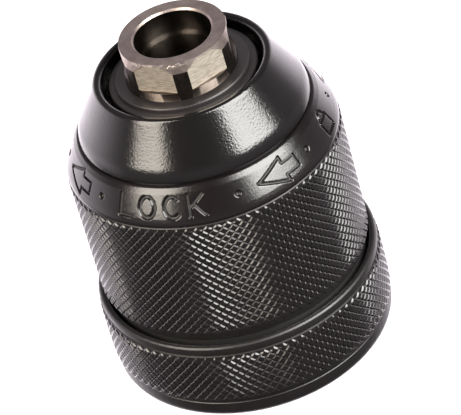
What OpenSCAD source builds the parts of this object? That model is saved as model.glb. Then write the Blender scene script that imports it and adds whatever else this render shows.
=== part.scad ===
// Keyless drill chuck with two sleeves: the large rear sleeve turns a split
// conical nut, and the nut's thread drives three inclined jaws.
// Millimetres. The spindle axis is Z. The rear face is at z = 0 and the
// nose points down, so a depth d below the rear face is at z = -d.

/* [Sleeve] */
// Diameter over the knurl of the turning sleeve
sleeve_d = 46.3; // [45.6:0.1:60]
// Length of the knurled sleeve
sleeve_len = 24.4; // [20:0.1:40]
// Wall of the knurled sleeve
sleeve_wall = 1.15; // [0.8:0.05:1.5]
// Wall of the liner inside the sleeve
liner_wall = 1; // [0.8:0.05:1.5]
// Thickness of the liner's top flange
liner_flange = 1.6; // [1:0.1:2]
// Chamfer at the sleeve's ends
sleeve_chamfer = 0.4; // [0.1:0.1:0.8]

/* [Cover and marked band] */
// Height of the cover above the marked band
cover_h = 9.1; // [6:0.1:14]
// Diameter of the cover at its lower edge
cover_d = 39; // [36:0.1:40]
// Wall of the cover
cover_wall = 1.1; // [0.8:0.1:1.5]
// Diameter of the cover's mouth, inside the rolled bead
mouth_d = 26.9; // [25:0.1:30]
// Radius of the rolled bead
bead_r = 0.8; // [0.5:0.05:1]
// How far the bead stands behind the dust washer
bead_rise = 0.5; // [0:0.1:1]
// Height of the marked band
band_h = 6.3; // [5:0.1:9]
// Gap between the cover's edge and the band
band_gap = 0.25; // [0.1:0.05:0.6]

/* [Holding ring] */
// Clearance between the liner's tube and the holding ring
ring_clear = 0.85; // [0.5:0.05:2]
// Height of the holding ring
ring_h = 15.2; // [14:0.1:22]
// Wall of the holding ring
ring_wall = 1.55; // [1.2:0.05:2]
// Gap between sleeve and holding ring
ring_gap = 0.6; // [0.3:0.1:1.5]
// Height of the hub that carries the holding ring
hub_h = 6; // [5:0.1:8]
// How far the nose stands in front of the holding ring
nose_len = 4; // [3:0.1:8]
// Diameter of the nose's face
nose_d = 25; // [24:0.1:30]

/* [Spindle end] */
// Diameter of the collar
collar_d = 18.5; // [17.6:0.1:19.5]
// Length of the collar
collar_len = 6.9; // [6:0.1:12]
// Distance across the milled flats
flats_across = 17; // [16:0.1:17.4]
// Width of each flat
flat_w = 7; // [5:0.1:7.2]
// Depth from the rear face to the flats' upper edge
flat_top = 0.2; // [0.1:0.1:1]
// Depth from the rear face to the flats' lower edge
flat_bottom = 5.4; // [3:0.1:5.8]
// Turn of the flats about the axis
flat_turn = -3.5; // [-30:0.5:30]
// Diameter of the entry ahead of the thread, which clears the spindle
entry_d = 12.95; // [12.8:0.05:13.2]
// Length of the entry
entry_len = 4; // [2:0.1:6]
// Minor diameter of the spindle thread
thread_minor_d = 11.46; // [10:0.02:11.6]
// Length of the spindle thread
thread_len = 14; // [10:0.5:16]
// Diameter of the neck under the cover
neck_d = 22; // [20.5:0.1:22.5]
// Thickness of the dust washer
washer_t = 1.4; // [0.8:0.1:2]
// Diameter of the dust washer
washer_d = 22.6; // [22.2:0.1:24]
// How far the washer's lower rim stands out
washer_rim = 1.1; // [0.5:0.1:1.3]
// Diameter of the hole for the safety screw
screw_hole_d = 6.4; // [4:0.1:7]
// Thickness of the web between spindle thread and shank way
web_t = 5; // [3:0.1:8]

/* [Jaws and nut] */
// Diameter of a jaw
jaw_d = 7; // [5.8:0.1:7]
// Angle between a jaw and the axis
jaw_angle = 15; // [14:0.5:15]
// Largest shank between the open jaws
grip_max_d = 13.14; // [12:0.1:13.2]
// Turns of the sleeve from open to closed
jaw_turns = 9; // [6:0.5:9]
// Pitch of the jaw thread along a jaw
pitch = 2.5; // [2:0.1:2.5]
// Width of the gripping land on each jaw
land_w = 0.8; // [0.4:0.1:1.2]
// How far the open jaws sit inside the nose
jaw_sink = 0.3; // [0.1:0.1:1]
// Height of the nut
nut_h = 10.1; // [8:0.1:10.5]
// Wall of the collar round the nut
collar_wall = 1.2; // [0.8:0.1:1.4]
// Length of jaw still held by the nut when closed
jaw_hold = 5.5; // [4:0.1:5.5]
// Depth of the nut's thread
tooth_h = 1.2; // [1:0.1:1.4]
// How far the jaws' teeth reach into the nut
tooth_bite = 0.85; // [0.7:0.05:0.9]
// Slope of the tooth flanks
flank = 25; // [20:1:28]

/* [Bearing and lock] */
// Diameter of the bearing balls
ball_d = 2; // [1.6:0.1:2]
// Thickness of each race
race_t = 1.2; // [1:0.1:1.6]
// Depth of the ball track in each race
track_h = 0.25; // [0.15:0.05:0.35]
// Teeth of the ratchet ring
ratchet_teeth = 48; // [24:1:60]
// Thickness of the ratchet ring and of the lock spring
ratchet_t = 1.3; // [0.8:0.1:1.5]

/* [Fits] */
// Radial gap between jaw and bore
jaw_fit = 0.08; // [0.06:0.01:0.12]
// Gap along the jaw between tooth and thread flank
flank_fit = 0.19; // [0.15:0.01:0.22]
// Gap between balls and tracks or cage
ball_fit = 0.06; // [0.05:0.01:0.1]
// Radial gap between sleeve liner and body
turn_fit = 0.5; // [0.3:0.05:0.8]
// Radial gap beside races, cage and collar
race_fit = 0.2; // [0.1:0.05:0.3]
// Gap between end faces that turn past each other
face_fit = 0.4; // [0.2:0.05:0.6]

/* [Hidden] */
// sizes too small to matter on their own
chamfer = 0.3;
collar_chamfer = 0.32;
collar_taper = 1.75;
flat_corner_w = 2;
flat_corner_h = 1.4;
cut = 0.6;
thread_steps = 36;
lug_count = 4;
lug_w = 5;
jaw_turns_from = 30;
clip_t = 1;
clip_groove = 0.6;

// depths, from the rear face to the nose
washer_z = collar_len;
neck_z = washer_z + washer_t;
cover_z = collar_len - bead_rise;
band_z = cover_z + cover_h;
sleeve_z = band_z + band_h;
sleeve_end = sleeve_z + sleeve_len;
ring_z = sleeve_end + ring_gap;
ring_end = ring_z + ring_h;
nose_z = ring_end + nose_len;

// depths inside, from the nose back
jaw_tip = nose_z - jaw_sink;
hub_end = ring_end - 0.6;
hub_z = hub_end - hub_h;
liner_end = hub_z - face_fit;
ratchet_end = liner_end - face_fit;
ratchet_z = ratchet_end - ratchet_t;
groove_end = ratchet_z - 0.3;
nut_end = groove_end - 0.2;
nut_z = nut_end - nut_h;
groove_z = nut_z - 0.3;
nut_race_z = nut_z - race_t;
ball_z = nut_race_z + track_h - ball_fit - ball_d / 2;
body_race_end = ball_z - ball_d / 2 - ball_fit + track_h;
seat_z = body_race_end - race_t;

// depths inside, from the rear
shoulder_z = sleeve_z + liner_flange + 2 * face_fit;
spindle_end = entry_len + thread_len;
way_z = spindle_end + 1.5 + web_t;
clip_z = sleeve_z - face_fit - clip_t;

// radii, from the outside in
sleeve_r = sleeve_d / 2;
liner_out = sleeve_r - sleeve_wall;
liner_in = liner_out - liner_wall;
body_r = liner_in - turn_fit;
race_out = liner_in - race_fit;
nut_r = race_out - collar_wall;
ring_in = liner_out + ring_clear;
ring_r = ring_in + ring_wall;
neck_r = neck_d / 2;
clip_seat = neck_r - clip_groove;
cover_r = cover_d / 2;
skirt_out = cover_r - 0.25;
skirt_in = skirt_out - 0.85;
mouth_r = mouth_d / 2;

// jaws
jaw_r = jaw_d / 2;
grip_r = grip_max_d / 2;
jaw_travel = jaw_turns * pitch;
jaw_rear = nut_end - jaw_hold - jaw_travel * cos(jaw_angle);
jaw_len = (jaw_tip - jaw_rear) / cos(jaw_angle);
function jaw_out(d) = grip_r + (jaw_tip - d) * tan(jaw_angle) + jaw_r / cos(jaw_angle);
front_r = jaw_out(seat_z) + jaw_fit + 0.45;
race_in = front_r + race_fit;
track_r = (race_in + race_out) / 2;
ball_count = floor(2 * PI * track_r / (1.7 * ball_d));
way_r = grip_r + 0.33;

// a point of the nut's thread: n outwards from the crest cone, t along a jaw
function thread_r(n, t) = grip_r + (jaw_r - tooth_bite + n) * cos(jaw_angle) + t * sin(jaw_angle);
function thread_z(n, t) = -jaw_tip - (jaw_r - tooth_bite + n) * sin(jaw_angle) + t * cos(jaw_angle);
function thread_t(d) = (jaw_tip - d + (jaw_r - tooth_bite) * sin(jaw_angle)) / cos(jaw_angle);
// half the width of the nut's thread groove at n, and of the jaw's groove
function nut_half(n) = 0.35 * pitch - n * tan(flank);
function jaw_half(n) = pitch / 2 - nut_half(n) + flank_fit;

function arc(x, d, r, from, to, steps = 6) =
    [for (i = [0:steps]) let (a = from + (to - from) * i / steps) [x + r * cos(a), d - r * sin(a)]];

// a body of revolution from points given as radius and depth
module turned(points) rotate_extrude($fn = 90) polygon([for (p = points) [p[0], -p[1]]]);
module round_hole(r, from, to) translate([0, 0, -to]) cylinder(r = r, h = to - from, $fn = 60);
module tube(out, in, from, to) turned([[in, from], [out, from], [out, to], [in, to]]);
module along_jaw() translate([grip_r, 0, -jaw_tip]) rotate([0, jaw_angle, 0]) children();
module each_jaw() for (k = [0:2]) rotate(jaw_turns_from + 120 * k) children();

// the groove that the nut's thread leaves, as one swept helix
module thread_groove() {
    t0 = thread_t(nut_end) - 0.7 * pitch;
    t1 = thread_t(nut_z) + 0.7 * pitch;
    rings = ceil((t1 - t0) / pitch * thread_steps);
    section = [[-cut, -nut_half(-cut)], [tooth_h, -nut_half(tooth_h)], [tooth_h, nut_half(tooth_h)], [-cut, nut_half(-cut)]];
    points = [for (i = [0:rings], s = section)
        let (a = -360 * i / thread_steps, t = t0 + pitch * i / thread_steps + s[1], r = thread_r(s[0], t))
        [r * cos(a), r * sin(a), thread_z(s[0], t)]];
    sides = [for (i = [0:rings - 1], j = [0:3])
        let (p = 4 * i + j, q = 4 * i + (j + 1) % 4) each [[p, p + 4, q], [q, p + 4, q + 4]]];
    ends = [[0, 1, 2], [0, 2, 3], [4 * rings + 2, 4 * rings + 1, 4 * rings], [4 * rings + 3, 4 * rings + 2, 4 * rings]];
    polyhedron(points, concat(sides, ends), convexity = 12);
}

module nut_blank() turned([[thread_r(0, thread_t(nut_z)), nut_z], [nut_r, nut_z], [nut_r, nut_end], [thread_r(0, thread_t(nut_end)), nut_end]]);

module nut_half(side) difference() {
    intersection() {
        nut_blank();
        translate([-nut_r - 1, side > 0 ? 0.1 : -nut_r - 1.1, -nut_end - 1]) cube([2 * nut_r + 2, nut_r + 1, nut_h + 2]);
    }
    thread_groove();
}

// one jaw, drawn at azimuth 0 and turned to its own place; its teeth meet the
// nut's thread there
module jaw(azimuth) rotate(azimuth) difference() {
    intersection() {
        along_jaw() rotate(100) rotate_extrude($fn = 60)
            polygon([[0, -4], [jaw_r, -4], [jaw_r, jaw_len - 1.5], [jaw_r - 1, jaw_len], [0, jaw_len]]);
        translate([0, 0, -jaw_tip]) linear_extrude(height = jaw_len + 2)
            polygon([[grip_r, -land_w / 2], [grip_r + 17, -land_w / 2 - 17 * tan(60)], [grip_r + 17, land_w / 2 + 17 * tan(60)], [grip_r, land_w / 2]]);
    }
    first = thread_t(nut_end) - 0.7 * pitch + ((360 - azimuth) % 360) / 360 * pitch - pitch / 2;
    lead = atan(pitch / (2 * PI * thread_mid));
    for (t = [first:pitch:jaw_len + pitch])
        translate([thread_r(0, t), 0, thread_z(0, t)])
            rotate(a = -lead, v = [cos(jaw_angle), 0, -sin(jaw_angle)])
                translate([-thread_mid, 0, 0]) rotate(180) rotate_extrude($fn = 90)
                    polygon([for (p = [[-0.35, -1], [tooth_bite + 0.3, -1], [tooth_bite + 0.3, 1], [-0.35, 1]])
                        let (w = p[1] * jaw_half(p[0]))
                        [thread_mid + p[0] * cos(jaw_angle) + w * sin(jaw_angle), -p[0] * sin(jaw_angle) + w * cos(jaw_angle)]]);
}
thread_mid = thread_r(0, (thread_t(nut_z) + thread_t(nut_end)) / 2);

module chuck_body() color("silver") difference() {
    turned([[0, 0], [collar_d / 2 - collar_chamfer, 0], [collar_d / 2, collar_taper], [collar_d / 2, neck_z],
        [neck_r, neck_z], [neck_r, clip_z - 0.05], [clip_seat, clip_z - 0.05], [clip_seat, clip_z + clip_t + 0.05],
        [neck_r, clip_z + clip_t + 0.05], [neck_r, shoulder_z], [body_r - 0.6, shoulder_z], [body_r, shoulder_z + 0.6],
        [body_r, seat_z], [front_r, seat_z], [front_r, groove_z],
        [thread_r(-0.4, thread_t(groove_z)), groove_z], [thread_r(-0.4, thread_t(groove_end)), groove_end],
        [front_r, groove_end], [front_r, hub_end + 0.05], [front_r - clip_groove, hub_end + 0.05],
        [front_r - clip_groove, hub_end + 0.15 + clip_t], [front_r, hub_end + 0.15 + clip_t], [front_r, ring_end + 1],
        [nose_d / 2, nose_z], [0, nose_z]]);
    for (k = [0:5]) rotate(flat_turn + 60 * k) translate([flats_across / 2, 0, 0]) rotate([90, 0, 90])
        linear_extrude(height = 3) polygon([[-flat_w / 2, -flat_bottom], [flat_w / 2, -flat_bottom],
            [flat_w / 2, -flat_top - flat_corner_h], [flat_w / 2 - flat_corner_w, -flat_top],
             [flat_corner_w - flat_w / 2, -flat_top], [-flat_w / 2, -flat_top - flat_corner_h]]);
    turned([[0, -1], [entry_d / 2 + chamfer + 1, -1], [entry_d / 2, chamfer], [entry_d / 2, entry_len],
        [thread_minor_d / 2, entry_len + (entry_d - thread_minor_d) / 2], [thread_minor_d / 2, spindle_end], [0, spindle_end + 1.5]]);
    round_hole(screw_hole_d / 2, spindle_end, way_z + 1);
    turned([[0, way_z], [way_r, way_z], [way_r, nose_z - 0.8], [way_r + 1.8, nose_z + 1], [0, nose_z + 1]]);
    each_jaw() along_jaw() translate([0, 0, -6]) cylinder(r = jaw_r + jaw_fit, h = jaw_len + 16, $fn = 60);
}

module dust_washer() color("dimgray") turned([[collar_d / 2 + 0.1, washer_z], [washer_d / 2 - 0.2, washer_z],
    [washer_d / 2, washer_z + 0.2], [washer_d / 2, washer_z + washer_t / 2], [washer_d / 2 + washer_rim - 0.2, washer_z + washer_t / 2],
    [washer_d / 2 + washer_rim, washer_z + washer_t / 2 + 0.2], [washer_d / 2 + washer_rim, neck_z], [collar_d / 2 + 0.1, neck_z]]);

module rear_cover() color([0.15, 0.15, 0.16]) turned(concat(
    arc(mouth_r + bead_r, cover_z + bead_r, bead_r, 180, 28, 8),
    [[cover_r - 1.2, band_z - 2.3], [cover_r - 0.72, band_z - 1.5], [cover_r - 0.34, band_z - 0.85],
     [cover_r - 0.1, band_z - 0.3], [cover_r, band_z], [cover_r, band_z + 0.2], [skirt_out, band_z + 0.2],
     [skirt_out, sleeve_z], [skirt_in, sleeve_z], [skirt_in, band_z + 0.4], [cover_r - 1.2 - 0.85 * cover_wall, band_z - 2.3 + 0.53 * cover_wall],
     [mouth_r + 0.6, cover_z + 1.9], [mouth_r + 0.6, cover_z + 3.2], [mouth_r, cover_z + 3.2]]));

module marking_ring() color([0.25, 0.25, 0.26]) let (top = band_z + 0.2 + band_gap, edge = cover_r + 0.25, rim = sleeve_r - 0.15) turned([
    [skirt_out, top], [edge, top], [edge + 0.2, top + 0.1],
    [edge + 0.2 + 0.28 * (rim - edge - 0.2), top + 0.2 * (sleeve_z - top)],
    [edge + 0.2 + 0.54 * (rim - edge - 0.2), top + 0.44 * (sleeve_z - top)],
    [edge + 0.2 + 0.77 * (rim - edge - 0.2), top + 0.69 * (sleeve_z - top)],
    [rim - 0.2, sleeve_z - 0.7], [rim - 0.03, sleeve_z - 0.3], [rim, sleeve_z], [skirt_out, sleeve_z]]);

module knurled_sleeve() color([0.2, 0.2, 0.22]) turned([[liner_out, sleeve_z], [sleeve_r - sleeve_chamfer, sleeve_z],
    [sleeve_r, sleeve_z + sleeve_chamfer], [sleeve_r, sleeve_end - 1.2], [sleeve_r - sleeve_chamfer, sleeve_end - 0.3],
    [sleeve_r - sleeve_chamfer - 0.2, sleeve_end], [liner_out, sleeve_end]]);

module sleeve_liner() color("gray") union() {
    turned([[neck_r + 0.35, sleeve_z], [liner_out, sleeve_z], [liner_out, liner_end], [liner_in, liner_end],
        [liner_in, sleeve_z + liner_flange], [neck_r + 0.35, sleeve_z + liner_flange]]);
    for (k = [0:lug_count - 1]) rotate(45 + 360 / lug_count * k) intersection() {
        tube(liner_in + 0.3, nut_r + 0.15, nut_end - nut_h / 2 + 0.2, nut_end - 0.2);
        translate([0, -lug_w / 2, -nut_end]) cube([sleeve_r, lug_w, nut_h]);
    }
}

// a snap ring with two ears, open towards +X
module snap_ring(seat, out, from) difference() {
    union() {
        tube(out, seat, from, from + clip_t);
        for (s = [-1, 1]) rotate(s * 16) translate([(seat + out) / 2, 0, -from - clip_t]) cylinder(r = (out - seat) / 2 + 0.35, h = clip_t, $fn = 30);
    }
    rotate(-8) rotate_extrude(angle = 16, $fn = 60) translate([seat - 2, -from - clip_t - 1]) square([out - seat + 4, clip_t + 2]);
    round_hole(seat, from - 1, from + clip_t + 1);
    for (s = [-1, 1]) rotate(s * 16) translate([(seat + out) / 2, 0, -from - clip_t - 1]) cylinder(r = 0.55, h = clip_t + 2, $fn = 24);
}
module rear_circlip() color("black") rotate(80) snap_ring(clip_seat, neck_r + 1.4, clip_z);
module front_circlip() color("black") rotate(90) snap_ring(front_r - clip_groove, front_r + 1.4, hub_end + 0.1);

// the ball track, cut into both races
module track() translate([0, 0, -ball_z]) rotate_extrude($fn = 90) translate([track_r, 0]) circle(r = ball_d / 2 + ball_fit, $fn = 36);
module body_race() color("lightsteelblue") difference() { tube(race_out, race_in, seat_z, body_race_end); track(); }
module nut_race() color("lightsteelblue") difference() { tube(race_out, race_in, nut_race_z, nut_z); track(); }
module each_ball() for (k = [0:ball_count - 1]) rotate(360 / ball_count * k) translate([track_r, 0, -ball_z]) children();
module bearing_balls() color("white") each_ball() sphere(d = ball_d, $fn = 24);
module ball_cage() color("goldenrod") difference() {
    tube(race_out - 0.15, race_in + 0.15, ball_z - 0.45, ball_z + 0.45);
    each_ball() cylinder(r = ball_d / 2 + ball_fit, h = 2, center = true, $fn = 24);
}

module nut_half_a() color("steelblue") nut_half(1);
module nut_half_b() color("cadetblue") nut_half(-1);
module nut_collar() color("slategray") difference() {
    tube(race_out, nut_r, nut_z + 0.2, nut_end);
    for (k = [0:lug_count - 1]) rotate(45 + 360 / lug_count * k)
        translate([nut_r / 2, -lug_w / 2 - race_fit, -nut_end - 1]) cube([nut_r, lug_w + 2 * race_fit, nut_h / 2 + 1]);
}

module jaw_1() color("tan") jaw(jaw_turns_from);
module jaw_2() color("peru") jaw(jaw_turns_from + 120);
module jaw_3() color("sienna") jaw(jaw_turns_from + 240);

module ratchet_ring() color("darkkhaki") difference() {
    translate([0, 0, -ratchet_end]) linear_extrude(height = ratchet_t)
        polygon([for (k = [0:ratchet_teeth - 1], s = [0, 1]) let (a = 360 / ratchet_teeth * (k + 0.25 * s))
            (front_r + 1.4 - 0.6 * s) * [cos(a), sin(a)]]);
    translate([0, 0, -ratchet_end - 1]) cylinder(r = front_r, h = ratchet_t + 2, $fn = 240);
}

// a bow round the ratchet ring, held to the liner by a pad at one end, with
// its pawl clear of the teeth
module lock_spring() color("orange") union() {
    rotate_extrude(angle = 200, $fn = 90) translate([liner_in - 0.75, -ratchet_end + 0.1]) square([0.5, ratchet_t - 0.2]);
    rotate(4) rotate_extrude(angle = 14, $fn = 90) translate([liner_in - 0.5, -ratchet_end + 0.1]) square([0.5, ratchet_t - 0.2]);
    rotate(192) rotate_extrude(angle = 4, $fn = 90) translate([front_r + 1.6, -ratchet_end + 0.1]) square([liner_in - 0.5 - front_r - 1.6, ratchet_t - 0.2]);
}

module front_hub() color("dimgray") turned([[front_r, hub_z], [ring_in - 0.3, hub_z], [ring_in, hub_z + 0.3], [ring_in, hub_end], [front_r, hub_end]]);

module front_ring() color([0.18, 0.18, 0.2]) turned(concat(
    [[ring_in, ring_z + 0.4], [ring_in + 0.25, ring_z + 0.1]],
    arc(ring_r - 0.9, ring_z + 0.6, 0.6, 100, 0, 6),
    [[ring_r - 0.3, ring_z + 1.5], [ring_r - 0.55, ring_z + 1.7], [ring_r - 0.3, ring_z + 2.1],
     [ring_r - 0.05, ring_z + 3.7], [ring_r, ring_z + 0.44 * ring_h], [ring_r - 0.05, ring_end - 5], [ring_r - 0.25, ring_end - 3.4],
     [ring_r - 0.4, ring_end - 3.1], [ring_r - 0.4, ring_end - 1.4]],
    arc(ring_r - 1.4, ring_end - 1, 1, 0, -80, 6),
    [[ring_in - 0.45, ring_end], [ring_in - 0.45, hub_end], [ring_in, hub_end]]));

chuck_body();
dust_washer();
rear_cover();
marking_ring();
knurled_sleeve();
sleeve_liner();
rear_circlip();
body_race();
bearing_balls();
ball_cage();
nut_race();
nut_half_a();
nut_half_b();
nut_collar();
jaw_1();
jaw_2();
jaw_3();
ratchet_ring();
lock_spring();
front_hub();
front_ring();
front_circlip();
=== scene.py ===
import math

import bmesh
import bpy
import numpy as np
from mathutils import Matrix, Vector


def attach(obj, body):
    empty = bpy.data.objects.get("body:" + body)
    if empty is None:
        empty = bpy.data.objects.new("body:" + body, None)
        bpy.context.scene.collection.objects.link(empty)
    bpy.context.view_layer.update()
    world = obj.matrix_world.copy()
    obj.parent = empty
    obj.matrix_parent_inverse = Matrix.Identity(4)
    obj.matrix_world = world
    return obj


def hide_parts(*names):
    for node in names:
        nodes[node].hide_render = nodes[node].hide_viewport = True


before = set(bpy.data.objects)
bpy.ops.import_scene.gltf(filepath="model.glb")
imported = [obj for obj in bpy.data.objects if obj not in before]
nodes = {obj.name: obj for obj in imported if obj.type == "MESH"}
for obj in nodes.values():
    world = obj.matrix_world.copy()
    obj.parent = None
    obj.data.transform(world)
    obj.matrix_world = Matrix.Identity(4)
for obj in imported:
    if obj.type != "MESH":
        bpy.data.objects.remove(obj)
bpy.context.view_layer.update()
mm = 0.001  # sizes below are in millimetres, and depth runs from the rear face towards the nose
print("frame loaded:", len(nodes), "nodes")


def linearColour(hexText):
    values = [int(hexText[i:i + 2], 16) / 255 for i in (0, 2, 4)]
    return (*(v / 12.92 if v <= 0.04045 else ((v + 0.055) / 1.055) ** 2.4 for v in values), 1.0)


def patternScale(size):  # a noise node's scale from the size of its spots in millimetres
    return 1 / (size * mm)


def addNode(tree, kind, links=None, **settings):
    node = tree.nodes.new(kind)
    for key, value in settings.items():
        if key in node.inputs:
            node.inputs[key].default_value = value
        else:
            setattr(node, key, value)
    for key, source in (links or {}).items():
        tree.links.new(source, node.inputs[key])
    return node


def startMaterial(name):
    material = bpy.data.materials.new(name)
    material.use_nodes = True
    tree = material.node_tree
    tree.nodes.clear()
    shader = addNode(tree, "ShaderNodeBsdfPrincipled")
    addNode(tree, "ShaderNodeOutputMaterial", {"Surface": shader.outputs[0]})
    place = addNode(tree, "ShaderNodeTexCoord").outputs["Object"]
    return material, tree, shader, place


def finishPiece(bm, name, body, replaced, materials, sharpAngle):
    mesh = bpy.data.meshes.new(name)
    for face in bm.faces:
        face.smooth = True
    bm.to_mesh(mesh)
    bm.free()
    mesh.set_sharp_from_angle(angle=math.radians(sharpAngle))
    for material in materials:
        mesh.materials.append(material)
    piece = bpy.data.objects.new(name, mesh)
    bpy.context.scene.collection.objects.link(piece)
    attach(piece, body)
    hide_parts(*replaced)
    return piece


def arcPoints(radius, depth, size, start, end, steps):
    angles = [math.radians(start + (end - start) * i / steps) for i in range(steps + 1)]
    return [(radius + size * math.cos(a), depth - size * math.sin(a)) for a in angles]


def turnProfile(points, steps):  # a closed ring of revolution from points given as radius and depth
    bm = bmesh.new()
    verts = [bm.verts.new((r * mm, 0, -d * mm)) for r, d in points]
    edges = [bm.edges.new((verts[i], verts[i + 1])) for i in range(len(verts) - 1)]
    edges.append(bm.edges.new((verts[-1], verts[0])))
    bmesh.ops.spin(bm, geom=verts + edges, cent=(0, 0, 0), axis=(0, 0, 1), angle=math.tau, steps=steps,
                   use_merge=True)
    bmesh.ops.remove_doubles(bm, verts=bm.verts, dist=1e-7)
    bmesh.ops.recalc_face_normals(bm, faces=bm.faces)
    return bm


# the collar's rear rim was knocked: bright bruises on the side that the direction points to
bruiseSpec = {"radius": (8.4, 8.9), "height": (-1.1, -0.3), "direction": (-0.45, -0.89, 0), "reach": (7.4, 8.4),
              "spot": 1.111, "edge": (0.5, 0.58), "colour": "cfc4b8", "sunk": 0.12}


def makeBruise(tree, place, spec):
    axes = addNode(tree, "ShaderNodeSeparateXYZ", {"Vector": place})
    flatten = addNode(tree, "ShaderNodeCombineXYZ", {"X": axes.outputs["X"], "Y": axes.outputs["Y"]})
    radius = addNode(tree, "ShaderNodeVectorMath", {0: flatten.outputs[0]}, operation="LENGTH")
    side = addNode(tree, "ShaderNodeVectorMath", {0: place}, operation="DOT_PRODUCT")
    side.inputs[1].default_value = spec["direction"]
    knock = addNode(tree, "ShaderNodeTexNoise", {"Vector": place}, Scale=patternScale(spec["spot"]), Detail=3.0,
                    Roughness=0.6)
    low, high = spec["edge"]
    bruise = addNode(tree, "ShaderNodeMapRange", {"Value": knock.outputs["Fac"]},
                     **{"From Min": low, "From Max": high})
    for source, (low, high) in ((radius.outputs["Value"], spec["radius"]), (axes.outputs["Z"], spec["height"]),
                                (side.outputs["Value"], spec["reach"])):
        part = addNode(tree, "ShaderNodeMapRange", {"Value": source}, **{"From Min": low * mm, "From Max": high * mm})
        bruise = addNode(tree, "ShaderNodeMath", {0: bruise.outputs[0], 1: part.outputs[0]}, operation="MULTIPLY")
    return bruise.outputs[0]


# cut steel left bare: warm grey, and the cutter's marks stretch each highlight across themselves
# its blotches are 2.4 mm, drawn out along the cut by lay, with 0.3 mm grain and cutter's rings 0.6 mm apart
# real grain and rings are about a third of that, too fine to show
def makeBareSteel(name, dark, light, roughness, stretch, lay=(1, 1, 1)):
    material, tree, shader, place = startMaterial(name)
    drawn = addNode(tree, "ShaderNodeMapping", {"Vector": place}, Scale=lay)
    blotch = addNode(tree, "ShaderNodeTexNoise", {"Vector": drawn.outputs[0]}, Scale=patternScale(2.381), Detail=5.0,
                     Roughness=0.65)
    grain = addNode(tree, "ShaderNodeTexNoise", {"Vector": place}, Scale=patternScale(0.3125), Detail=2.0,
                    Roughness=0.7)
    waveTurn = math.tau / 20  # a wave node runs through 20 radians in one unit
    rings = addNode(tree, "ShaderNodeTexWave", {"Vector": place}, wave_type="RINGS", rings_direction="Z",
                    wave_profile="SIN", Scale=waveTurn * patternScale(0.6042), Distortion=0.6, Detail=2.0)
    tone = addNode(tree, "ShaderNodeValToRGB", {"Fac": blotch.outputs["Fac"]})
    for stop, position, hexText in zip(tone.color_ramp.elements, (0.32, 0.68), (dark, light)):
        stop.position, stop.color = position, linearColour(hexText)
    bruise = makeBruise(tree, place, bruiseSpec)
    worn = addNode(tree, "ShaderNodeMix", {"Factor": bruise, "A": tone.outputs["Color"]}, data_type="RGBA")
    worn.inputs["B"].default_value = linearColour(bruiseSpec["colour"])
    tree.links.new(worn.outputs["Result"], shader.inputs["Base Color"])
    shader.inputs["Metallic"].default_value = 1.0
    shader.inputs["Roughness"].default_value = roughness
    shader.inputs["Anisotropic"].default_value = stretch
    shader.inputs["Anisotropic Rotation"].default_value = 0.25
    around = addNode(tree, "ShaderNodeTangent", direction_type="RADIAL", axis="Z")
    tree.links.new(around.outputs[0], shader.inputs["Tangent"])
    marks = addNode(tree, "ShaderNodeBump", {"Height": rings.outputs["Fac"]}, Strength=0.35, Distance=0.02 * mm)
    speckle = addNode(tree, "ShaderNodeBump", {"Height": grain.outputs["Fac"], "Normal": marks.outputs[0]},
                      Strength=0.5, Distance=0.03 * mm)
    dents = addNode(tree, "ShaderNodeBump", {"Height": bruise, "Normal": speckle.outputs[0]}, Strength=0.5,
                    Distance=bruiseSpec["sunk"] * mm)
    tree.links.new(dents.outputs[0], shader.inputs["Normal"])
    return material


# a satin coat, near black, whose fine relief breaks up the edges of the highlights
# grain is the relief's spots, cloud the soft change of tone
def makeBlackCoat(name, dark, light, roughness, grain, detail, rough, relief, cloud):
    material, tree, shader, place = startMaterial(name)
    pebble = addNode(tree, "ShaderNodeTexNoise", {"Vector": place}, Scale=patternScale(grain), Detail=detail,
                     Roughness=rough)
    patches = addNode(tree, "ShaderNodeTexNoise", {"Vector": place}, Scale=patternScale(cloud), Detail=3.0)
    tone = addNode(tree, "ShaderNodeValToRGB", {"Fac": patches.outputs["Fac"]})
    for stop, hexText in zip(tone.color_ramp.elements, (dark, light)):
        stop.color = linearColour(hexText)
    tree.links.new(tone.outputs["Color"], shader.inputs["Base Color"])
    shader.inputs["Roughness"].default_value = roughness
    bump = addNode(tree, "ShaderNodeBump", {"Height": pebble.outputs["Fac"]}, Strength=1.0, Distance=relief * mm)
    tree.links.new(bump.outputs[0], shader.inputs["Normal"])
    return material


# black oxide: near black with an oily gloss that changes over patches of 3 mm
def makeBlackOxide(name, dark, light, roughness):
    material, tree, shader, place = startMaterial(name)
    cloud = addNode(tree, "ShaderNodeTexNoise", {"Vector": place}, Scale=patternScale(3.333), Detail=4.0,
                    Roughness=0.65)
    tone = addNode(tree, "ShaderNodeValToRGB", {"Fac": cloud.outputs["Fac"]})
    for stop, hexText in zip(tone.color_ramp.elements, (dark, light)):
        stop.color = linearColour(hexText)
    tree.links.new(tone.outputs["Color"], shader.inputs["Base Color"])
    dull = addNode(tree, "ShaderNodeMapRange", {"Value": cloud.outputs["Fac"]},
                   **{"To Min": roughness - 0.06, "To Max": roughness + 0.1})
    tree.links.new(dull.outputs[0], shader.inputs["Roughness"])
    return material


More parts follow.
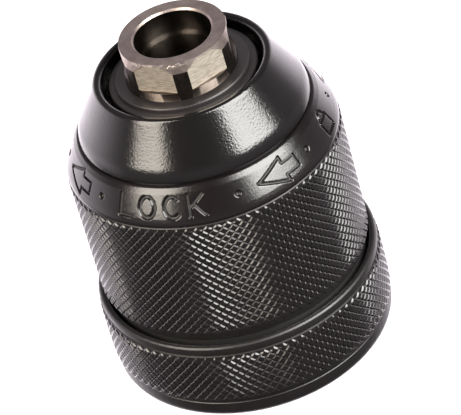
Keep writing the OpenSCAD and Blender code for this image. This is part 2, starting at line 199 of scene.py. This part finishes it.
# the inner parts: one tone, mottled by a grain drawn at 0.7 mm so that it shows
def makePlain(name, hexText, metallic, roughness, mottle=0.12):
    material, tree, shader, place = startMaterial(name)
    grain = addNode(tree, "ShaderNodeTexNoise", {"Vector": place}, Scale=patternScale(0.6667), Detail=3.0)
    tone = addNode(tree, "ShaderNodeValToRGB", {"Fac": grain.outputs["Fac"]})
    for stop, share in zip(tone.color_ramp.elements, (1 - mottle, 1 + mottle)):
        stop.color = (*(min(1, c * share) for c in linearColour(hexText)[:3]), 1)
    tree.links.new(tone.outputs["Color"], shader.inputs["Base Color"])
    shader.inputs["Metallic"].default_value = metallic
    shader.inputs["Roughness"].default_value = roughness
    relief = addNode(tree, "ShaderNodeBump", {"Height": grain.outputs["Fac"]}, Strength=0.2, Distance=0.03 * mm)
    tree.links.new(relief.outputs[0], shader.inputs["Normal"])
    return material


finishes = {
    # turned steel: painted near black as painted shade, with soft bars of light from the lamps
    "shadedTurnedSteel": makeBareSteel("turned steel painted dark as shade", "38332f", "4e4641", 0.36, 0.45),
    # faced and wiped clean: an even warm grey
    "facedSteel": makeBareSteel("faced bare steel", "90837d", "aea19a", 0.42, 0.3),
    # flats cut by an end mill: pale, with fine streaks along the cut
    "milledSteel": makeBareSteel("milled bare steel", "8c8376", "c2b9ac", 0.35, 0.87, (2.0, 2.0, 11.0)),
    # bored steel: painted almost black, as painted shade deep in the bore
    "shadedBoreSteel": makeBareSteel("bore steel painted dark as shade", "1d1a17", "2f2a26", 0.36, 0.5),
    # painted sheet: glossy enough for crisp lamp shapes, with a 0.3 mm pebble
    "blackCover": makeBlackCoat("satin black cover", "0b0a0a", "100e0f", 0.17, 0.3333, 1.5, 0.5, 0.03, 4.167),
    # coated zinc casting: duller than the cover, with a finer grain
    "charcoalBand": makeBlackCoat("charcoal coated band", "0a0808", "120e0f", 0.2, 0.2778, 2.0, 0.65, 0.02, 6.25),
    # rolled knurl: matt crests, flanks burnished by the wheel so that they glint
    "blackCrest": makeBlackOxide("black oxide crest", "090707", "100c0d", 0.42),
    "blackFlank": makeBlackOxide("burnished black flank", "0c0a0a", "151213", 0.15),
    # the band's marks: the bottom of each groove is painted darker as painted shade, and the coat there is matt
    "grooveShade": makeBlackOxide("engraved charcoal coat", "060505", "0c0b0b", 0.5),
    # hardened and ground: clean grey with clear highlights
    "groundSteel": makePlain("ground jaw steel", "8d8b88", 1.0, 0.3),
    # vulcanised fibre: dull and dark
    "washer": makePlain("dark fibre washer", "1a1718", 0.0, 0.42),
    # turned aluminium: pale and satin
    "alloy": makePlain("turned aluminium", "a9a9a8", 1.0, 0.35),
    # polished bearing steel: bright, almost without mottle
    "race": makePlain("polished race steel", "c4c4c2", 1.0, 0.16, 0.04),
    # pressed brass: yellow and satin
    "brass": makePlain("cage brass", "b9944e", 1.0, 0.32),
    # phosphated spring steel: dark grey, half matt
    "spring": makePlain("phosphated spring steel", "3b3937", 0.8, 0.45),
}
print("finishes made:", len(finishes))


coverSpec = {
    "mouth": 13.45, "bead": 0.8, "beadEnd": 31, "beadSteps": 16, "top": 6.4, "steps": 224, "sharp": 40,
    "cone": [(15.1, 7.12), (18.62, 13.0)],
    "shoulder": [(18.8, 13.32), (18.97, 13.66), (19.12, 14.02), (19.24, 14.38), (19.34, 14.76), (19.42, 15.14),
                 (19.47, 15.45), (19.48, 15.6), (19.44, 15.68)],
    "skirt": [(19.25, 15.7), (19.25, 21.8), (18.4, 21.8), (18.4, 15.9)],
    "inside": [(17.6, 13.6), (14.05, 8.3), (14.05, 9.6), (13.9, 9.6), (13.51, 9.6), (13.45, 9.5)],
}


def buildCover(spec):
    bead = spec["bead"]
    points = arcPoints(spec["mouth"] + bead, spec["top"] + bead, bead, 180, spec["beadEnd"], spec["beadSteps"])
    return turnProfile(points + spec["cone"] + spec["shoulder"] + spec["skirt"] + spec["inside"], spec["steps"])


finishPiece(buildCover(coverSpec), "rearCover", "sleeve", ["rear_cover"], [finishes["blackCover"]],
            coverSpec["sharp"])
print("rear cover built")


bandSpec = {
    "profile": [(19.75, 15.95), (19.95, 16.05), (20.6, 16.8), (21.4, 18.2), (22.15, 19.55), (22.6, 20.4),
                (22.85, 21.0), (22.97, 21.4), (23.0, 21.8)],
    "inner": [(19.25, 21.8), (19.25, 15.95)], "rows": 52, "steps": 1120, "sharp": 50,
    "cutRadius": 19.9, "cutDepths": (16.0, 21.75), "midRadius": 21.45,  # the face that the marks are cut in
    "grooveWidth": 0.5, "grooveDepth": 0.34, "grooveWall": 0.4, "shadeDepthShare": 0.6, "longestEdge": 5,
    "dotRadius": 0.55, "dotDepth": 0.45, "dotRound": 0.8,
    "letterWidth": 0.66, "letterAngles": {"L": -43.0, "O": -32.5, "C": -21.0, "K": -10.5},  # degrees from the front
    "arrowAngles": (-76.0, 28.0), "dotAngles": (-57.0, 8.0, 46.0, 84.0), "lockAngle": 66.0,
}


def loopEdges(points):
    return [(points[i], points[(i + 1) % len(points)]) for i in range(len(points))]


def roundStroke(width, height, start, end, steps, lift=0.0):
    turns = [math.radians(start + (end - start) * i / steps) for i in range(steps + 1)]
    return [(width * math.cos(turn), lift + height * math.sin(turn)) for turn in turns]


# each mark is a set of single strokes round its own centre; both halves of the band carry the same marks
arrowShape = [(-3.9, 0), (1.3, 2.15), (1.3, 1.0), (3.9, 1.0), (3.9, -1.0), (1.3, -1.0), (1.3, -2.15)]
padlockShape = [(-1.5, -2.0), (1.5, -2.0), (1.5, 0.4), (-1.5, 0.4)]
shackleShape = roundStroke(1.0, 1.35, 0, 180, 8, 0.5)
letterShapes = {
    "L": [[(-1.0, 1.75), (-1.0, -1.75), (1.15, -1.75)]],
    "O": [roundStroke(1.3, 1.75, 0, 360, 28)],
    "C": [roundStroke(1.3, 1.75, 48, 312, 16)],
    "K": [[(-1.15, 1.75), (-1.15, -1.75)], [(1.2, 1.75), (-1.15, -0.35), (-0.35, 0.4), (1.3, -1.75)]],
}


def bandMarks(spec):
    marks = [(loopEdges(arrowShape), angle, spec["grooveWidth"]) for angle in spec["arrowAngles"]]
    marks += [(list(zip(path, path[1:])), spec["letterAngles"][letter], spec["letterWidth"])
              for letter, paths in letterShapes.items() for path in paths]
    marks.append((loopEdges(padlockShape) + list(zip(shackleShape, shackleShape[1:])), spec["lockAngle"],
                  spec["grooveWidth"]))
    strokes, dots = [], []
    for half in (0, 180):
        for edges, angle, width in marks:
            shift = math.radians(angle + half) * spec["midRadius"]
            strokes += [((a[0] + shift, a[1]), (b[0] + shift, b[1]), width) for a, b in edges]
        dots += [math.radians(angle + half) * spec["midRadius"] for angle in spec["dotAngles"]]
    return strokes, dots


def spreadRows(points, count):  # the same profile with its points evenly spaced
    corners = np.array(points, float)
    run = np.r_[0, np.cumsum(np.hypot(*np.diff(corners, axis=0).T))]
    even = np.linspace(0, run[-1], count)
    return np.interp(even, run, corners[:, 0]), np.interp(even, run, corners[:, 1]), even


def sinkMarks(u, v, spec):  # how deep each point lies, from its place along the band and up it
    around = math.tau * spec["midRadius"]
    strokes, dots = bandMarks(spec)
    sink = np.zeros(len(u))
    for (ax, ay), (bx, by), width in strokes:
        reach = width / 2
        du = (u - ax + around / 2) % around - around / 2
        near = (np.abs(du) < spec["longestEdge"]) & (v > min(ay, by) - reach) & (v < max(ay, by) + reach)
        if not near.any():
            continue
        p, q = du[near], v[near] - ay
        ex, ey = bx - ax, by - ay
        t = np.clip((p * ex + q * ey) / (ex * ex + ey * ey + 1e-12), 0, 1)
        gap = np.hypot(p - t * ex, q - t * ey) / reach
        cut = np.clip((1 - gap) / spec["grooveWall"], 0, 1) * spec["grooveDepth"]
        sink[near] = np.maximum(sink[near], cut)
    for x in dots:
        du = (u - x + around / 2) % around - around / 2
        gap = np.hypot(du, v) / spec["dotRadius"]
        sink = np.maximum(sink, np.where(gap < 1, 1 - gap ** 2, 0) ** spec["dotRound"] * spec["dotDepth"])
    return sink


def buildBand(spec):
    radii, depths, run = spreadRows(spec["profile"], spec["rows"])
    bm = turnProfile(list(zip(radii, depths)) + spec["inner"], spec["steps"])
    first, last = spec["cutDepths"]
    verts = [v for v in bm.verts if v.co.xy.length > spec["cutRadius"] * mm and -last * mm < v.co.z < -first * mm]
    co = np.array([v.co for v in verts]) / mm
    along = np.arctan2(co[:, 0], -co[:, 1]) * spec["midRadius"]  # from the front towards +X
    up = run[-1] / 2 - np.interp(-co[:, 2], depths, run)
    sink = sinkMarks(along, up, spec)
    bm.normal_update()
    normals = [vert.normal.copy() for vert in verts]
    for vert, normal, amount in zip(verts, normals, sink):
        vert.co -= normal * float(amount) * mm
    # faces deep in a groove take the darker finish: painted shade in the groove bottoms
    sunk = {vert for vert, amount in zip(verts, sink) if amount > spec["grooveDepth"] * spec["shadeDepthShare"]}
    for face in {face for vert in sunk for face in vert.link_faces}:
        if all(vert in sunk for vert in face.verts):
            face.material_index = 1
    return bm


finishPiece(buildBand(bandSpec), "markedBand", "sleeve", ["marking_ring"],
            [finishes["charcoalBand"], finishes["grooveShade"]], bandSpec["sharp"])
print("marked band built")


# crest is the outline over the diamonds' tops; above and below lead from the knurl to the plain inner wall
sleeveSpec = {
    "crest": [(22.15, 23.15), (45.05, 23.15)], "top": 22.15, "bottom": 45.05, "columns": 88, "rows": 14,
    "depth": 0.195, "inset": 0.205, "hip": 0.06, "sharp": 28,
    "above": [(22.72, 21.95), (22.6, 21.8), (22.0, 21.8)],
    "below": [(22.75, 45.25), (22.7, 45.9), (22.5, 46.2), (22.0, 46.2)],
}
ringSpec = {
    "crest": [(48.7, 24.3), (50.5, 24.38), (53.5, 24.4), (57.0, 24.38), (58.9, 24.28)],
    "top": 48.75, "bottom": 58.8, "columns": 92, "rows": 6,
    "depth": 0.195, "inset": 0.205, "hip": 0.06, "sharp": 28,
    "above": [(23.8, 48.55), (24.1, 48.3), (24.1, 47.5), (24.02, 47.15), (23.8, 46.9), (23.5, 46.8), (23.2, 46.87),
              (22.95, 47.05), (22.85, 47.3)],
    "below": [(23.85, 58.95), (24.0, 59.1), (24.02, 60.6), (23.95, 61.1), (23.75, 61.55), (23.45, 61.87),
              (23.1, 62.0), (22.4, 62.0), (22.4, 61.4), (22.85, 61.4)],
}


def growLoop(bm, loop, radius, depth):
    grown = bmesh.ops.extrude_edge_only(bm, edges=loop)["geom"]
    for vert in (g for g in grown if isinstance(g, bmesh.types.BMVert)):
        flat = vert.co.xy.normalized() * radius * mm
        vert.co = (flat.x, flat.y, -depth * mm)
    return [g for g in grown if isinstance(g, bmesh.types.BMEdge)]


def buildLattice(spec):  # a tube of diamonds, lying at the bottom of the knurl's valleys
    bm = bmesh.new()
    step = (spec["bottom"] - spec["top"]) / spec["rows"]
    verts = [bm.verts.new((mm, 0, -(spec["top"] + step * i) * mm)) for i in range(spec["rows"] + 1)]
    edges = [bm.edges.new(pair) for pair in zip(verts, verts[1:])]
    bmesh.ops.spin(bm, geom=verts + edges, cent=(0, 0, 0), axis=(0, 0, 1), angle=math.tau, steps=spec["columns"],
                   use_merge=True)
    bmesh.ops.remove_doubles(bm, verts=bm.verts, dist=1e-7)
    straight = [e for e in bm.edges if not e.is_boundary]
    bmesh.ops.poke(bm, faces=bm.faces)
    for vert in bm.verts:
        crest = float(np.interp(-vert.co.z / mm, *zip(*spec["crest"])))
        flat = vert.co.xy.normalized() * (crest - spec["depth"]) * mm
        vert.co = (flat.x, flat.y, vert.co.z)
    bmesh.ops.dissolve_edges(bm, edges=straight)
    bmesh.ops.recalc_face_normals(bm, faces=bm.faces)
    middles = {face: face.calc_center_median() for face in bm.faces}
    if sum(face.normal.xy.dot(middle.xy) for face, middle in middles.items()) < 0:
        bmesh.ops.reverse_faces(bm, faces=bm.faces)
    return bm


def buildKnurled(spec):
    bm = buildLattice(spec)
    diamonds = [f for f in bm.faces if len(f.verts) == 4]
    flanks = bmesh.ops.inset_individual(bm, faces=diamonds, thickness=spec["inset"] * mm, depth=spec["depth"] * mm,
                                        use_even_offset=True)["faces"]
    for face in flanks:
        face.material_index = 1
    tops, slopes = set(diamonds), set(flanks)
    # a hip runs between two flanks, with just one end at a diamond's top
    hips = [edge for edge in bm.edges if len(edge.link_faces) == 2 and slopes.issuperset(edge.link_faces)
            and sum(not tops.isdisjoint(vert.link_faces) for vert in edge.verts) == 1]
    rounded = bmesh.ops.bevel(bm, geom=hips, offset=spec["hip"] * mm, segments=1, profile=0.5, affect="EDGES",
                              material=-1)["faces"]
    for face in rounded:
        face.material_index = 0
    middle = -(spec["top"] + spec["bottom"]) / 2 * mm
    rims = [[e for e in bm.edges if e.is_boundary and (e.verts[0].co.z > middle) == upper]
            for upper in (True, False)]
    for rim, path in zip(rims, (spec["above"], spec["below"])):
        for radius, depth in path:
            rim[:] = growLoop(bm, rim, radius, depth)
    bmesh.ops.bridge_loops(bm, edges=rims[0] + rims[1])
    bmesh.ops.recalc_face_normals(bm, faces=bm.faces)
    return bm


knurlFinishes = [finishes["blackCrest"], finishes["blackFlank"]]
finishPiece(buildKnurled(sleeveSpec), "knurledSleeve", "sleeve", ["knurled_sleeve"], knurlFinishes,
            sleeveSpec["sharp"])
finishPiece(buildKnurled(ringSpec), "holdingRing", "body", ["front_ring"], knurlFinishes,
            ringSpec["sharp"])
print("knurled sleeve and holding ring built")


copySpec = {"merge": 1e-6, "sharp": 12}


def smoothCopy(node, name, body, materials, pick=None):  # a node's own shape with smooth shading
    bm = bmesh.new()
    bm.from_mesh(nodes[node].data)
    bmesh.ops.remove_doubles(bm, verts=bm.verts, dist=copySpec["merge"])
    bm.normal_update()
    for face in bm.faces if pick else ():
        face.material_index = pick(face)
    return finishPiece(bm, name, body, [node], materials, copySpec["sharp"])


# where each of the body's finishes lies, as radii and heights
bodySpec = {"boreRadius": 6.6, "boreHeights": (-20, -0.6), "ledgeHeights": (-5.5, -5.3), "levelShare": 0.6,
            "flatRadius": 8.5, "flatSlack": 0.03, "flatEnd": -5.45, "rim": -0.01, "taperEnd": -1.8}
bodyFinishes = [finishes[key] for key in ("shadedTurnedSteel", "facedSteel", "milledSteel", "shadedBoreSteel")]


def bodyFinish(face):
    turned, faced, milled, bored = range(4)
    centre = face.calc_center_median() / mm
    heights = [vert.co.z / mm for vert in face.verts]
    outward = face.normal.xy.dot(centre.xy)
    # faces inside the bore take the near-black finish: painted shade
    if centre.xy.length < bodySpec["boreRadius"] and bodySpec["boreHeights"][0] < centre.z < bodySpec["boreHeights"][1]:
        return bored
    # the ledge under the flats also takes the near-black turned finish: painted shade under the flats
    if bodySpec["ledgeHeights"][0] < centre.z < bodySpec["ledgeHeights"][1]:
        return turned
    if abs(face.normal.z) > bodySpec["levelShare"]:
        return faced
    if centre.z > bodySpec["flatEnd"] and abs(outward - bodySpec["flatRadius"]) < bodySpec["flatSlack"]:
        return milled
    # the turned faces below the taper get the near-black finish: painted shade
    return faced if max(heights) > bodySpec["rim"] or min(heights) > bodySpec["taperEnd"] else turned


smoothCopy("chuck_body", "chuckBody", "body", bodyFinishes, bodyFinish)
smoothCopy("dust_washer", "dustWasher", "body", [finishes["washer"]])
for number in (1, 2, 3):
    smoothCopy(f"jaw_{number}", f"jaw{number}", f"jaw_{number}", [finishes["groundSteel"]])
smoothCopy("front_hub", "frontHub", "body", [finishes["alloy"]])
smoothCopy("sleeve_liner", "sleeveLiner", "sleeve", [finishes["alloy"]])
smoothCopy("bearing_balls", "bearingBalls", "ball_set", [finishes["race"]])

# the other inner nodes keep their own mesh
nodeFinishes = {
    "spring": ["rear_circlip", "front_circlip", "ratchet_ring", "lock_spring"],
    "race": ["body_race", "nut_race"],
    "brass": ["ball_cage"],
    "groundSteel": ["nut_half_a", "nut_half_b", "nut_collar"],
}
for finish, names in nodeFinishes.items():
    for name in names:
        nodes[name].data.materials.clear()
        nodes[name].data.materials.append(finishes[finish])
print("inner pieces finished")


# the floor is low enough for the jaws to run out above it
stageSpec = {"floor": -89.0, "size": 6.0, "paper": "8c8c8c", "roughness": 0.9, "shine": 0.1, "glow": 0.95}


def makePaper(spec):  # white paper, lit evenly: no shine, and bright enough to read as plain white
    material, tree, shader, place = startMaterial("white paper")
    shader.inputs["Base Color"].default_value = linearColour(spec["paper"])
    shader.inputs["Roughness"].default_value = spec["roughness"]
    shader.inputs["Specular IOR Level"].default_value = spec["shine"]
    shader.inputs["Emission Color"].default_value = linearColour("ffffff")
    shader.inputs["Emission Strength"].default_value = spec["glow"]
    return material


def buildFloor(spec):
    bm = bmesh.new()
    bmesh.ops.create_grid(bm, x_segments=2, y_segments=2, size=spec["size"] / 2)
    bmesh.ops.translate(bm, verts=bm.verts, vec=(0, 0, spec["floor"] * mm))
    mesh = bpy.data.meshes.new("floor")
    bm.to_mesh(mesh)
    bm.free()
    mesh.materials.append(makePaper(spec))
    floor = bpy.data.objects.new("floor", mesh)
    bpy.context.scene.collection.objects.link(floor)
    floor.visible_glossy = False


buildFloor(stageSpec)

# two soft boxes; distance and size are in metres, azimuth runs from the front towards +X
panelSpec = {
    "rightPanel": {"azimuth": 50, "size": (0.66, 0.7), "power": 29, "colour": "fffefa"},
    "leftPanel": {"azimuth": -57.4, "size": (0.48, 0.7), "power": 15, "colour": "fff6e9"},
    "elevation": 35, "distance": 0.9, "aimPoint": (0, 0, -0.03),
}


def addPanel(name, spec):
    panel = spec[name]
    light = bpy.data.lights.new(name, "AREA")
    light.shape = "RECTANGLE"
    light.size, light.size_y = panel["size"]
    light.energy, light.color = panel["power"], linearColour(panel["colour"])[:3]
    a, e = math.radians(panel["azimuth"]), math.radians(spec["elevation"])
    outward = Vector((math.sin(a) * math.cos(e), -math.cos(a) * math.cos(e), math.sin(e)))
    holder = bpy.data.objects.new(name, light)
    holder.location = Vector(spec["aimPoint"]) + outward * spec["distance"]
    holder.rotation_euler = outward.to_track_quat("Z", "Y").to_euler()
    bpy.context.scene.collection.objects.link(holder)


addPanel("rightPanel", panelSpec)
addPanel("leftPanel", panelSpec)

# the studio's walls as azimuth and brightness, below the horizon and above it; blend and fade are heights
studioSpec = {
    "low": [(-180, 3.0), (-132, 2.8), (-112, 0.3), (-80, 0.1), (0, 0.04), (80, 0.1), (114, 0.15), (132, 2.8),
            (180, 3.0)],
    "high": [(-180, 3.0), (-130, 3.0), (-104, 1.8), (-82, 0.4), (-40, 0.35), (0, 0.28), (40, 0.35), (85, 0.35),
             (112, 0.5), (134, 2.8), (180, 3.0)],
    "tint": (1.0, 0.925, 0.99), "blend": (-0.42, -0.22), "fade": (0.0, 0.42), "ceiling": 0.08,
}


def buildStudio(spec):
    world = bpy.data.worlds.new("studio")
    bpy.context.scene.world = world
    world.use_nodes = True
    tree = world.node_tree
    tree.nodes.clear()
    way = addNode(tree, "ShaderNodeTexCoord").outputs["Generated"]
    axes = addNode(tree, "ShaderNodeSeparateXYZ", {"Vector": way})
    front = addNode(tree, "ShaderNodeMath", {0: axes.outputs["Y"]}, operation="MULTIPLY")
    front.inputs[1].default_value = -1.0
    angle = addNode(tree, "ShaderNodeMath", {0: axes.outputs["X"], 1: front.outputs[0]}, operation="ARCTAN2")
    turn = addNode(tree, "ShaderNodeMapRange", {"Value": angle.outputs[0]},
                   **{"From Min": -math.pi, "From Max": math.pi})
    walls = {}
    for key in ("low", "high"):
        ramp = addNode(tree, "ShaderNodeValToRGB", {"Fac": turn.outputs[0]})
        stops = ramp.color_ramp.elements
        while len(stops) < len(spec[key]):
            stops.new(0.5)
        for stop, (azimuth, level) in zip(stops, spec[key]):
            stop.position = azimuth / 360 + 0.5
            stop.color = (*(level * share for share in spec["tint"]), 1)
        walls[key] = ramp.outputs["Color"]
    height = addNode(tree, "ShaderNodeMapRange", {"Value": axes.outputs["Z"]},
                     **dict(zip(("From Min", "From Max"), spec["blend"])))
    fade = addNode(tree, "ShaderNodeMapRange", {"Value": axes.outputs["Z"]},
                   **dict(zip(("From Min", "From Max"), spec["fade"])), **{"To Min": 1.0, "To Max": spec["ceiling"]})
    blend = addNode(tree, "ShaderNodeMix", {"Factor": height.outputs[0], "A": walls["low"], "B": walls["high"]},
                    data_type="RGBA")
    sky = addNode(tree, "ShaderNodeBackground", {"Color": blend.outputs["Result"], "Strength": fade.outputs[0]})
    addNode(tree, "ShaderNodeOutputWorld", {"Surface": sky.outputs[0]})


buildStudio(studioSpec)

# the camera stands over the front at a height angle and distance from a point on the axis, then turns;
# focal is the lens's length against an image 461 wide
cameraSpec = {"aim": -15.5, "distance": 575.0, "elevation": 35.244, "yaw": -0.125, "pitch": -1.721, "roll": 16.189,
              "focal": 3513.6, "imageWidth": 461, "sensor": 36.0, "clip": (0.01, 20)}


def placeCamera(spec):
    camera = bpy.data.cameras.new("camera")
    camera.sensor_fit, camera.sensor_width = "HORIZONTAL", spec["sensor"]
    camera.lens = spec["focal"] / spec["imageWidth"] * spec["sensor"]
    camera.clip_start, camera.clip_end = spec["clip"]
    e = math.radians(spec["elevation"])
    outward = Vector((0, -math.cos(e), math.sin(e)))
    forward, right = -outward, Vector((1, 0, 0))
    up = right.cross(forward)
    turn = Matrix.Rotation(math.radians(spec["yaw"]), 3, up)
    forward, right = turn @ forward, turn @ right
    turn = Matrix.Rotation(math.radians(spec["pitch"]), 3, right)
    forward, up = turn @ forward, turn @ up
    turn = Matrix.Rotation(math.radians(spec["roll"]), 3, forward)
    right, up = turn @ right, turn @ up
    holder = bpy.data.objects.new("camera", camera)
    place = Matrix((right, up, -forward)).transposed().to_4x4()
    place.translation = Vector((0, 0, spec["aim"] * mm)) + outward * spec["distance"] * mm
    holder.matrix_world = place
    bpy.context.scene.collection.objects.link(holder)
    bpy.context.scene.camera = holder


placeCamera(cameraSpec)
bpy.context.scene.view_settings.view_transform = "Standard"
print("stage, light and camera placed")
